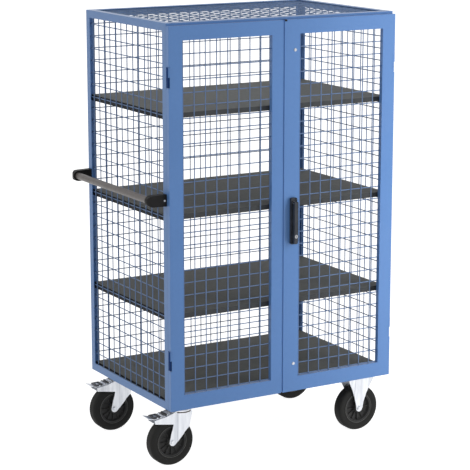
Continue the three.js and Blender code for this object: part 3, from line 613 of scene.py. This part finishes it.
def outward(mesh):
    shape = bmesh.new()
    shape.from_mesh(mesh)
    bmesh.ops.remove_doubles(shape, verts=shape.verts, dist=1e-6)
    bmesh.ops.recalc_face_normals(shape, faces=shape.faces)
    smooth(shape, SPUN_ANGLE)
    shape.to_mesh(mesh)
    shape.free()
    return mesh


def arc(centre, radius, start, end, count):
    angles = [math.radians(start + (end - start) * i / count) for i in range(count + 1)]
    return [(centre[0] + radius * math.sin(a), centre[1] + radius * math.cos(a)) for a in angles]


# %% Tyre and rim sections, as distances from the axle and from the middle of the wheel
def tyre_profile():
    seat, wall, half = 0.0643, 0.0215, 0.0245
    top, corner = WHEEL_RADIUS, 0.011
    shoulder = arc((top - corner, half - corner), corner, 0, 78, 7)
    side = [(seat, wall), (0.068, 0.0228), (0.0715, 0.0236), (0.0728, 0.0232), (0.0742, 0.0239)]
    right = side + [(0.080, half)] + shoulder + [(top - 0.0003, 0.008), (top, 0.0)]
    left = [(r, -y) for r, y in reversed(right[:-1])]
    return right + left


def rim_profile():
    half = [
        (0.0064, 0.0258), (0.0185, 0.0258), (0.0200, 0.0243), (0.0205, 0.0075), (0.0255, 0.0075),
        (0.0530, 0.0075), (0.0555, 0.0105), (0.0560, 0.0195), (0.0572, 0.0212), (0.0625, 0.0214),
        (0.0640, 0.0205),
    ]
    return half + [(r, -y) for r, y in reversed(half)]


# %% [markdown]
# The ribs of a rim stand at equal angles. The tree puts one plate on each point of a circle and turns
# it to the hub. Each plate is a thin box that ends inside the hub and inside the ring, so nothing shows
# a gap.

# %% The rule of a rim's ribs
rib_rule = Tree("rim_ribs", {
    "Ribs": "Int", "Middle": "Float", "Length": "Float", "Depth": "Float", "Thickness": "Float",
    "Material": "Material",
})
rib_size = rib_rule.out("ShaderNodeCombineXYZ", None, {
    "X": rib_rule.given["Length"], "Y": rib_rule.given["Thickness"], "Z": rib_rule.given["Depth"]})
rib = rib_rule.out("GeometryNodeMeshCube", None, {"Size": rib_size})
rib_ring = rib_rule.out("GeometryNodeMeshCircle", None, {
    "Vertices": rib_rule.given["Ribs"], "Radius": rib_rule.given["Middle"]})
rib_place = rib_rule.out("GeometryNodeInputPosition")
rib_turn = rib_rule.out("FunctionNodeAlignRotationToVector", {"axis": "X"}, {"Vector": rib_place})
rib_rule.finish(rib_rule.out("GeometryNodeInstanceOnPoints", None, {
    "Points": rib_ring, "Instance": rib, "Rotation": rib_turn}))

# %% Make the four wheels
AXLES = {
    "front_swivel": (-0.4365, -0.2345), "rear_swivel": (-0.4365, 0.2855),
    "front_fixed": (0.4675, -0.2345), "rear_fixed": (0.4675, 0.2855),
}
# The ring of painted highlight: its distance from the axle and from the middle of the wheel, and its own
# radius.
RING_PLACE, RING_SIDE, RING_RADIUS = 0.0646, 0.0222, 0.0012
RIB_VALUES = {
    "Ribs": 12, "Middle": 0.0375, "Length": 0.037, "Depth": 0.028, "Thickness": 0.0026,
    "Material": rim_plastic,
}


def join_meshes(name, meshes):
    shape = bmesh.new()
    for mesh in meshes:
        shape.from_mesh(mesh)
    joined = bpy.data.meshes.new(name)
    shape.to_mesh(joined)
    shape.free()
    return joined


def to_axle(mesh, axle):
    mesh.transform(Matrix.Translation((axle[0], axle[1], WHEEL_RADIUS)))


def wheel_piece(name, mesh, node, axle):
    to_axle(mesh, axle)
    # The ribs bring a slot number of their own, and clear() puts every face back to the first slot.
    mesh.materials.clear()
    mesh.materials.append(FINISHES[SLOT_OF[node]])
    piece = finish_piece(bpy.data.objects.new(name, mesh), node)
    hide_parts(node)


for place, axle in AXLES.items():
    # The two edge rings carry a painted highlight: lighter grey where the flange catches light.
    rings = [spin(arc((RING_PLACE, side * RING_SIDE), RING_RADIUS, 0, 330, 11)) for side in (-1, 1)]
    edge = join_meshes(f"{place}_rim_highlight", rings)
    to_axle(edge, axle)
    edge.materials.append(rim_highlight)
    finish_piece(bpy.data.objects.new(f"{place}_rim_highlight", edge), f"{place}_rim")
    wheel_piece(f"{place}_tyre_round", spin(tyre_profile()), f"{place}_tyre", axle)
    ribs = rib_rule.make(f"{place}_ribs", RIB_VALUES)
    ribs.transform(Matrix.Rotation(math.pi / 2, 4, "X"))
    whole = join_meshes(f"{place}_rim_round", [spin(rim_profile()), ribs])
    wheel_piece(f"{place}_rim_round", whole, f"{place}_rim", axle)
print("wheels", len(AXLES))

# %% [markdown]
# ## Handle tube
#
# The tube of the push handle is a plain coated tube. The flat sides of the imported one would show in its
# shine, so it is turned again with 64 sides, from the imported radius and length. Both its ends run into
# their sockets.


# %% Turn the tube
TUBE_WALL = 0.002
TUBE_SIDES = 64


def turned(profile, steps, turn):
    mesh = spin(profile, steps)
    mesh.transform(turn)
    return mesh


def tube_profile(radius, length):
    inner = radius - TUBE_WALL
    return [(inner, 0.0), (radius, 0.0), (radius, length), (inner, length)]


low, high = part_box("push_handle_tube")
tube_radius = (high.z - low.z) / 2
tube_middle = Vector(((low.x + high.x) / 2, low.y, (low.z + high.z) / 2))
tube_outline = tube_profile(tube_radius, high.y - low.y)
tube = turned(tube_outline, TUBE_SIDES, Matrix.Translation(tube_middle))
tube.materials.append(grey_tube)
tube_piece = finish_piece(bpy.data.objects.new("handle_tube_round", tube), "push_handle_tube")
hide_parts("push_handle_tube")
print("tube", round(high.y - low.y, 3), "m long")

# %% [markdown]
# ## Hinges
#
# A hinge sits in a pocket at the outer edge of its door. Its lower half stands on the post: a slim
# knuckle on a leaf, with the pin through it. At the left door that half is painted deep blue, as
# painted shade for the shadow in its pocket. The upper half belongs to the door, whose folded edge
# holds the pin. On the left door that half wears a thin dark sleeve of painted shade, and on the right
# door it stays plain. A strip of the door's skin closes the inner part of each pocket. It ends just
# before the leaf, so the door can swing round.


# %% Build both halves of each hinge
HINGE_AXIS = {"left": (-0.482, -0.3325), "right": (0.562, -0.3325)}
KNUCKLE = {"radius": 0.0046, "chamfer": 0.0008, "sides": 32}
PIN = {"radius": 0.003, "chamfer": 0.0006, "sides": 24}
LEAF, LEAF_BEVEL = 0.003, 0.0003
POST_FACE = -0.3195
# Half of the gap between the two halves of a hinge.
HALF_GAP = 0.0004
# The sleeve is a dark sheet of painted shade over the door's half of a left hinge.
SLEEVE_INNER, SLEEVE_OUTER = 0.0067, 0.0072
SLEEVE_START, SLEEVE_SWEEP, SLEEVE_STEPS = 120, 115, 16
SKIN = 0.0014
STRIP_GAP, STRIP_OVERLAP = 0.0006, 0.0012


def rod(form, length, turn):
    radius, chamfer = form["radius"], form["chamfer"]
    outline = [
        (0.0, 0.0), (radius - chamfer, 0.0), (radius, chamfer),
        (radius, length - chamfer), (radius - chamfer, length), (0.0, length),
    ]
    return turned(outline, form["sides"], turn)


def box_mesh(low, high, bevel=0.0):
    shape = bmesh.new()
    bmesh.ops.create_cube(shape, size=1.0)
    size = Vector(high) - Vector(low)
    middle = (Vector(high) + Vector(low)) / 2
    bmesh.ops.scale(shape, vec=size, verts=shape.verts)
    bmesh.ops.translate(shape, vec=middle, verts=shape.verts)
    if bevel:
        bmesh.ops.bevel(
            shape, geom=shape.edges[:], offset=bevel, segments=2, profile=0.5, affect="EDGES")
    mesh = bpy.data.meshes.new("box")
    shape.to_mesh(mesh)
    shape.free()
    return mesh


def new_piece(name, meshes, body, material):
    mesh = join_meshes(name, meshes)
    mesh.materials.append(material)
    piece = bpy.data.objects.new(name, mesh)
    bpy.context.scene.collection.objects.link(piece)
    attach(piece, body)
    return piece


def upright_at(axis, height):
    return Matrix.Translation((axis[0], axis[1], height)) @ Matrix.Rotation(math.pi / 2, 4, "X")


def post_hinge(node, axis, material):
    low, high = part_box(node)
    split = (low.z + high.z) / 2 - HALF_GAP
    foot = upright_at(axis, low.z)
    knuckle = rod(KNUCKLE, split - low.z, foot)
    pin = rod(PIN, high.z - low.z, foot)
    leaf_low = (axis[0] - LEAF / 2, axis[1], low.z)
    leaf_high = (axis[0] + LEAF / 2, POST_FACE, split)
    leaf = box_mesh(leaf_low, leaf_high, LEAF_BEVEL)
    piece = new_piece(f"{node}_round", [knuckle, pin, leaf], "cart", material)
    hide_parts(node)


def shade_sleeve(node, axis):
    low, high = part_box(node)
    split, top = (low.z + high.z) / 2 + HALF_GAP, high.z - HALF_GAP
    shares = [i / SLEEVE_STEPS for i in range(SLEEVE_STEPS + 1)]
    turns = [math.radians(SLEEVE_START + SLEEVE_SWEEP * share) for share in shares]
    outline = [(SLEEVE_OUTER * math.cos(a), SLEEVE_OUTER * math.sin(a)) for a in turns]
    outline += [(SLEEVE_INNER * math.cos(a), SLEEVE_INNER * math.sin(a)) for a in reversed(turns)]
    count = len(outline)
    points = [(axis[0] + x, axis[1] + y, z) for z in (split, top) for x, y in outline]
    faces = [(k, (k + 1) % count, count + (k + 1) % count, count + k) for k in range(count)]
    for k in range(SLEEVE_STEPS):
        across = (k, k + 1, count - 2 - k, count - 1 - k)
        faces += [across, tuple(count + corner for corner in across)]
    mesh = bpy.data.meshes.new("shade_sleeve")
    mesh.from_pydata(points, [], faces)
    return outward(mesh)


def skin_strip(door, node, axis, inner):
    low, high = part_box(node)
    start = axis[0] + math.copysign(LEAF / 2 + STRIP_GAP, inner - axis[0])
    left, right = sorted((start, inner))
    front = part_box(f"{door}_door_frame")[0].y
    bottom, top = low.z - STRIP_OVERLAP, high.z + STRIP_OVERLAP
    return box_mesh((left, front, bottom), (right, front + SKIN, top))


HINGE_EDGE = {"left": -0.485, "right": 0.565}
POCKET_DEPTH = 0.0112
for door, axis in HINGE_AXIS.items():
    inner = HINGE_EDGE[door] + math.copysign(POCKET_DEPTH, -HINGE_EDGE[door])
    strips, shade_sleeves = [], []
    # At the left door the post's half is painted shade: deep blue, as in the shadow of its pocket.
    post_material = post_hinge_shade_paint if door == "left" else door_paint
    for height in ("lower", "upper"):
        node = f"{door}_door_{height}_hinge"
        post_hinge(node, axis, post_material)
        shade_sleeves.append(shade_sleeve(node, axis))
        strips.append(skin_strip(door, node, axis, inner))
    new_piece(f"{door}_door_skin_strips", strips, f"{door}_door", door_paint)
    # Only the left door gets the sleeves of painted shade.
    if door == "left":
        new_piece("left_door_hinge_shade_sleeves", shade_sleeves, "left_door", door_hinge_shade_paint)
print("hinges", 2 * len(HINGE_AXIS))

# %% [markdown]
# ## Key cylinder
#
# The key cylinder has a ring with a fine chamfer, a face that lies a little deeper, and a dark slot for
# the key. All but the slot is round, so its section is turned as a wheel's is, with 48 sides. The slot
# is a small black box that stands half a millimetre out of the face: painted shade for the dark inside
# of a cut. That is simpler than a cut, and looks the same at this size.

# %% Turn the key cylinder
KEY_SIDES = 48
KEY_CHAMFER, KEY_RECESS = 0.0006, 0.0009
# Where the recess begins and where it is full, as shares of the radius.
RECESS_START, RECESS_END = 0.76, 0.70
KEY_SLOT = {"width": 0.0014, "depth": 0.0015, "height": 0.0072, "front": 0.0004}

low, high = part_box("lock_cylinder")
key_radius = (high.z - low.z) / 2
key_depth = high.y - low.y
key_middle = Vector(((low.x + high.x) / 2, high.y, (low.z + high.z) / 2))
key_outline = [
    (0.0, 0.0), (key_radius, 0.0), (key_radius, key_depth - KEY_CHAMFER),
    (key_radius - KEY_CHAMFER, key_depth), (key_radius * RECESS_START, key_depth),
    (key_radius * RECESS_END, key_depth - KEY_RECESS), (0.0, key_depth - KEY_RECESS),
]
key_turn = Matrix.Translation(key_middle) @ Matrix.Rotation(math.pi, 4, "Z")
key_body = BODY_OF["lock_cylinder"]
key_mesh = turned(key_outline, KEY_SIDES, key_turn)
key_piece = new_piece("key_cylinder_round", [key_mesh], key_body, key_zinc)
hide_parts("lock_cylinder")
slot_middle = Vector((key_middle.x, low.y + KEY_SLOT["front"] + KEY_SLOT["depth"] / 2, key_middle.z))
slot_half = Vector((KEY_SLOT["width"], KEY_SLOT["depth"], KEY_SLOT["height"])) / 2
# The slot is a black box: painted shade for the dark inside of the key's cut.
key_slot_shade = box_mesh(slot_middle - slot_half, slot_middle + slot_half)
new_piece("key_slot_shade", [key_slot_shade], key_body, black_plastic)
print("key cylinder", round(key_radius, 4), "m radius")

# %% [markdown]
# ## Pedal pads
#
# Six grey ribs of rubber lie on each brake pedal and leave bare metal between them. The pedal's plate
# is bent, so each rib starts as a flat box with soft edges, and its points are then lifted onto the
# line of the plate. One rule serves all the ribs.

# %% Lay the pads on the pedals
PAD_THICKNESS, PAD_BEVEL = 0.0056, 0.0018
PEDAL_LINE = [(-0.1092, 0.1165), (-0.0838, 0.1097), (-0.0449, 0.1112), (-0.0059, 0.1204)]
PAD_BARS = [  # start and end along the pedal, then the two sides
    (-0.0845, -0.0765, -0.025, 0.025), (-0.0580, -0.0500, -0.025, 0.025),
    (-0.0790, -0.0560, -0.025, -0.014), (-0.0790, -0.0560, 0.014, 0.025),
    (-0.0385, -0.0330, -0.025, 0.025), (-0.0280, -0.0220, -0.025, 0.025),
]


def pedal_height(x):
    for (x0, z0), (x1, z1) in zip(PEDAL_LINE, PEDAL_LINE[1:]):
        if x <= x1:
            return z0 + (z1 - z0) * (x - x0) / (x1 - x0)
    return PEDAL_LINE[-1][1]


def pad(axle, start, end, right, left):
    mesh = box_mesh((start, right, 0.0), (end, left, PAD_THICKNESS), PAD_BEVEL)
    for vertex in mesh.vertices:
        vertex.co.z += pedal_height(vertex.co.x)
    to_axle(mesh, axle)
    mesh.shade_smooth()
    return outward(mesh)


for place in ("front", "rear"):
    pads = [pad(AXLES[f"{place}_swivel"], *bar) for bar in PAD_BARS]
    new_piece(f"{place}_pedal_pads", pads, f"{place}_brake", pedal_rubber)
print("pedals with", len(PAD_BARS), "ribs each")

# %% [markdown]
# ## Race gap rings
#
# A brown ring fills the gap in the crown of each swivel caster and turns with the fork. It is round,
# so a small section is turned about the swivel's axis.

# %% Close the gap of each swivel race
SWIVEL_TRAIL = 0.049
RACE_RING_HEIGHT = 0.2186
RACE_RING_SIDES = 64
RACE_RING_OUTLINE = [
    (0.040, 0.0), (0.0448, 0.0), (0.0453, 0.0005), (0.0453, 0.0037), (0.0445, 0.0043), (0.040, 0.0043)]

for place in ("front", "rear"):
    axle = AXLES[f"{place}_swivel"]
    turn = upright_at((axle[0] + SWIVEL_TRAIL, axle[1]), RACE_RING_HEIGHT)
    gap_ring = turned(RACE_RING_OUTLINE, RACE_RING_SIDES, turn)
    fork_body = BODY_OF[f"{place}_swivel_fork"]
    new_piece(f"{place}_race_gap_ring", [gap_ring], fork_body, race_gap_brown)
print("seals at", RACE_RING_HEIGHT, "m")

# %% [markdown]
# ## Door lip and notch shade
#
# A lip on the right door stands in the gap between the doors, a little behind their faces. A small
# black box sits over that door's upper corner: painted shade for a small notch there. The photo shows
# only a few pixels of either, so a flat strip and a box with soft edges are enough.

# %% Add the door's lip and its notch shade
LIP = {"width": 0.0075, "overlap": 0.0005, "depth": 0.0030, "thickness": 0.0015, "end": 0.0020}
NOTCH_SHADE_LOW, NOTCH_SHADE_HIGH, NOTCH_SHADE_BEVEL = (0.0352, -0.3409, 1.7712), (0.0465, -0.3255, 1.7782), 0.0010

door_low, door_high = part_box("right_door_frame")
lip_front = door_low.y + LIP["depth"]
lip_low = (door_low.x - LIP["width"], lip_front, door_low.z + LIP["end"])
lip_high = (door_low.x + LIP["overlap"], lip_front + LIP["thickness"], door_high.z - LIP["end"])
new_piece("door_lip", [box_mesh(lip_low, lip_high)], "right_door", door_paint)

# A black box with soft edges: painted shade for the small notch in the door's upper corner.
notch_shade = box_mesh(NOTCH_SHADE_LOW, NOTCH_SHADE_HIGH, NOTCH_SHADE_BEVEL)
new_piece("door_notch_shade", [notch_shade], "right_door", black_plastic)
print("lip", round(lip_high[2] - lip_low[2], 3), "m high")

# %% [markdown]
# ## Screws and bolts
#
# Every caster plate hangs on four hex bolts. A pan head screw sits in the door's face far above and far
# below the lock, where it holds a rod guide, and each handle bracket has one small screw. They are all
# one rule: a head on each given point, with a washer under it.

# %% The rule of a bolt head
bolt_rule = Tree("bolt_heads", {
    "Radius": "Float", "Height": "Float", "Sides": "Int", "Washer Radius": "Float", "Washer": "Float",
    "Turn": "Vector", "Material": "Material",
})


def bolt_part(radius, height, sides, base):
    tree = bolt_rule
    disc = tree.out("GeometryNodeMeshCylinder", None, {
        "Vertices": sides, "Radius": radius, "Depth": height})
    half = tree.out("ShaderNodeMath", {"operation": "MULTIPLY"}, {0: height, 1: 0.5})
    lift = tree.out("ShaderNodeMath", {"operation": "ADD"}, {0: half, 1: base})
    raised = tree.out("ShaderNodeCombineXYZ", None, {"Z": lift})
    return tree.out("GeometryNodeTransform", None, {"Geometry": disc, "Translation": raised})


WASHER_SIDES = 24
bolt_given = bolt_rule.given
head_part = bolt_part(*(bolt_given[label] for label in ("Radius", "Height", "Sides", "Washer")))
washer_part = bolt_part(bolt_given["Washer Radius"], bolt_given["Washer"], WASHER_SIDES, 0.0)
bolt_join = bolt_rule.add("GeometryNodeJoinGeometry")
bolt_rule.tree.links.new(head_part, bolt_join.inputs[0])
bolt_rule.tree.links.new(washer_part, bolt_join.inputs[0])
bolt_rule.finish(bolt_rule.out("GeometryNodeInstanceOnPoints", None, {
    "Points": bolt_given["Geometry"], "Instance": bolt_join.outputs[0],
    "Rotation": bolt_given["Turn"]}))


# %% Place the bolts and screws
def bolts(name, body, points, turn, values):
    mesh = bolt_rule.make(name, {**values, "Turn": turn, "Material": screw_zinc}, points)
    outward(mesh)
    piece = bpy.data.objects.new(name, mesh)
    bpy.context.scene.collection.objects.link(piece)
    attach(piece, body)
    print(name, len(points))


HEX = {"Radius": 0.0092, "Height": 0.0064, "Sides": 6, "Washer Radius": 0.0105, "Washer": 0.0018}
PAN = {"Radius": 0.0055, "Height": 0.0026, "Sides": 24, "Washer Radius": 0.0064, "Washer": 0.0006}
SMALL = {"Radius": 0.0036, "Height": 0.0018, "Sides": 24, "Washer Radius": 0.0042, "Washer": 0.0005}
DOWN = (math.pi, 0.0, 0.0)
FORWARD = (math.pi / 2, 0.0, 0.0)
BACKWARD = (-math.pi / 2, 0.0, 0.0)
PLATE_BOTTOM = 0.248
PLATE_CENTRES = [(x, y) for x in (-0.3875, 0.4185) for y in (-0.2345, 0.2855)]
BOLT_SPREAD = [(x, y) for x in (-0.0525, 0.0525) for y in (-0.04, 0.04)]
LOCK_SCREW_X = 0.0846
LOCK_SCREW_HEIGHTS = (1.657, 0.371)
BRACKET_SCREW_X = -0.4950
BRACKET_SCREW_HEIGHT = 1.103

plate_points = [(x + dx, y + dy, PLATE_BOTTOM) for x, y in PLATE_CENTRES for dx, dy in BOLT_SPREAD]
bolts("caster_plate_bolts", "cart", plate_points, DOWN, HEX)

door_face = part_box("right_door_frame")[0].y
lock_screws = [(LOCK_SCREW_X, door_face, z) for z in LOCK_SCREW_HEIGHTS]
bolts("lock_screws", "right_door", lock_screws, FORWARD, PAN)

front = (BRACKET_SCREW_X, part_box("front_handle_bracket")[0].y, BRACKET_SCREW_HEIGHT)
bolts("front_bracket_screw", "cart", [front], FORWARD, SMALL)
rear = (BRACKET_SCREW_X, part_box("rear_handle_bracket")[1].y, BRACKET_SCREW_HEIGHT)
bolts("rear_bracket_screw", "cart", [rear], BACKWARD, SMALL)

# %% [markdown]
# ## Floor and light
#
# The photograph is a cut-out on pure white. The floor and the world are white to the camera, in
# reflections and through glass, and the floor keeps a faint shadow under the casters. An even white
# world gives most of the light. A tall strip close to the right post brightens the doors towards their
# right side, and a weak box at the left lifts the left side a little. Neither lamp shows in a
# reflection, so the blue stays deep.


# %% White floor
FLOOR_HALF = 80
FLOOR_TONE = (0.62, 0.62, 0.62, 1.0)
FLOOR_GLOW = 0.9
WHITE = (1.0, 1.0, 1.0, 1.0)


def straight_view(tree):
    seen = add_node(tree, "ShaderNodeLightPath").outputs
    total = Number(tree, seen["Is Camera Ray"]) + Number(tree, seen["Is Glossy Ray"])
    return total + Number(tree, seen["Is Transmission Ray"])


def white_floor():
    finish = Finish("white_floor")
    output = finish.tree.nodes["Material Output"]
    glow = finish.add("ShaderNodeEmission", None, {"Color": WHITE, "Strength": FLOOR_GLOW})
    none = finish.add("ShaderNodeEmission", None, {"Color": WHITE, "Strength": 0.0})
    inputs = {0: straight_view(finish.tree), 1: none.outputs[0], 2: glow.outputs[0]}
    share = finish.add("ShaderNodeMixShader", None, inputs)
    finish.shader.inputs["Base Color"].default_value = FLOOR_TONE
    finish.shader.inputs["Roughness"].default_value = 1.0
    finish.shader.inputs["Specular IOR Level"].default_value = 0.0
    parts = {0: finish.shader.outputs[0], 1: share.outputs[0]}
    total = finish.add("ShaderNodeAddShader", None, parts)
    finish.tree.links.new(total.outputs[0], output.inputs["Surface"])
    return finish.material


floor_mesh = bpy.data.meshes.new("floor")
floor_corners = [(x * FLOOR_HALF, y * FLOOR_HALF, 0) for x, y in ((-1, -1), (1, -1), (1, 1), (-1, 1))]
floor_mesh.from_pydata(floor_corners, [], [(0, 1, 2, 3)])
floor_mesh.materials.append(white_floor())
floor = bpy.data.objects.new("floor", floor_mesh)
bpy.context.scene.collection.objects.link(floor)


# %% World and lamps
WORLD_FILL = 0.56


def white_world(fill):
    world = bpy.data.worlds.new("white_world")
    world.use_nodes = True
    bpy.context.scene.world = world
    tree = world.node_tree
    strength = straight_view(tree) * (1.0 - fill) + fill
    background = tree.nodes["Background"]
    background.inputs["Color"].default_value = WHITE
    tree.links.new(strength.socket, background.inputs["Strength"])


def soft_box(name, position, target, width, height, power):
    data = bpy.data.lights.new(name, "AREA")
    data.shape = "RECTANGLE"
    data.size = width
    data.size_y = height
    data.energy = power
    lamp = bpy.data.objects.new(name, data)
    lamp.location = position
    lamp.rotation_euler = (Vector(target) - Vector(position)).to_track_quat("-Z", "Y").to_euler()
    lamp.visible_camera = False
    lamp.visible_glossy = False
    bpy.context.scene.collection.objects.link(lamp)


white_world(WORLD_FILL)
soft_box("right_strip", position=(1.25, -1.4, 1.1), target=(0.45, -0.1, 1.1),
         width=0.6, height=3.0, power=22.0)
soft_box("left_box", position=(-5.5, -1.0, 2.6), target=(0.0, 0.0, 0.9),
         width=3.0, height=3.0, power=30.0)

scene = bpy.context.scene
scene.view_settings.view_transform = "Standard"
